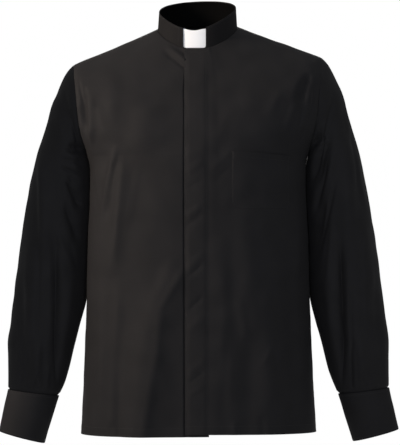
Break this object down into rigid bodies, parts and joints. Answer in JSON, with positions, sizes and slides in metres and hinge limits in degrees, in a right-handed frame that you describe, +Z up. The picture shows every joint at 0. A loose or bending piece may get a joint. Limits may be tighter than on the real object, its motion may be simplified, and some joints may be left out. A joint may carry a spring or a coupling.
{
  "type": "clergy shirt",
  "caption": "Black long-sleeved clergy shirt with a stand collar, white tab, concealed front buttons and a chest pocket, filled out as if worn.",
  "frame": {"origin": "middle of the neck opening, level with the high point of the shoulders, where the wearer's neck holds the shirt", "axes": "+Z up through the collar, +Y towards the wearer's back, +X towards the wearer's left"},
  "size_m": [0.7099, 0.2648, 0.7873],
  "materials": {
    "shirt_cloth": "matte",
    "collar_tab": "matte",
    "buttons": "satin"
  },
  "bodies": {
    "root": {"front_left": "shirt_cloth", "front_right": "shirt_cloth", "back": "shirt_cloth", "yoke": "shirt_cloth", "sleeve_left": "shirt_cloth", "sleeve_right": "shirt_cloth", "cuff_left": "shirt_cloth", "cuff_right": "shirt_cloth", "sleeve_placket_left": "shirt_cloth", "sleeve_placket_right": "shirt_cloth", "collar": "shirt_cloth", "neckband": "shirt_cloth", "collar_tab": "collar_tab", "pocket": "shirt_cloth", "fly_button_1": "buttons", "fly_button_2": "buttons", "fly_button_3": "buttons", "fly_button_4": "buttons", "fly_button_5": "buttons", "fly_button_6": "buttons", "cuff_button_left": "buttons", "cuff_button_right": "buttons"}
  },
  "joints": []
}
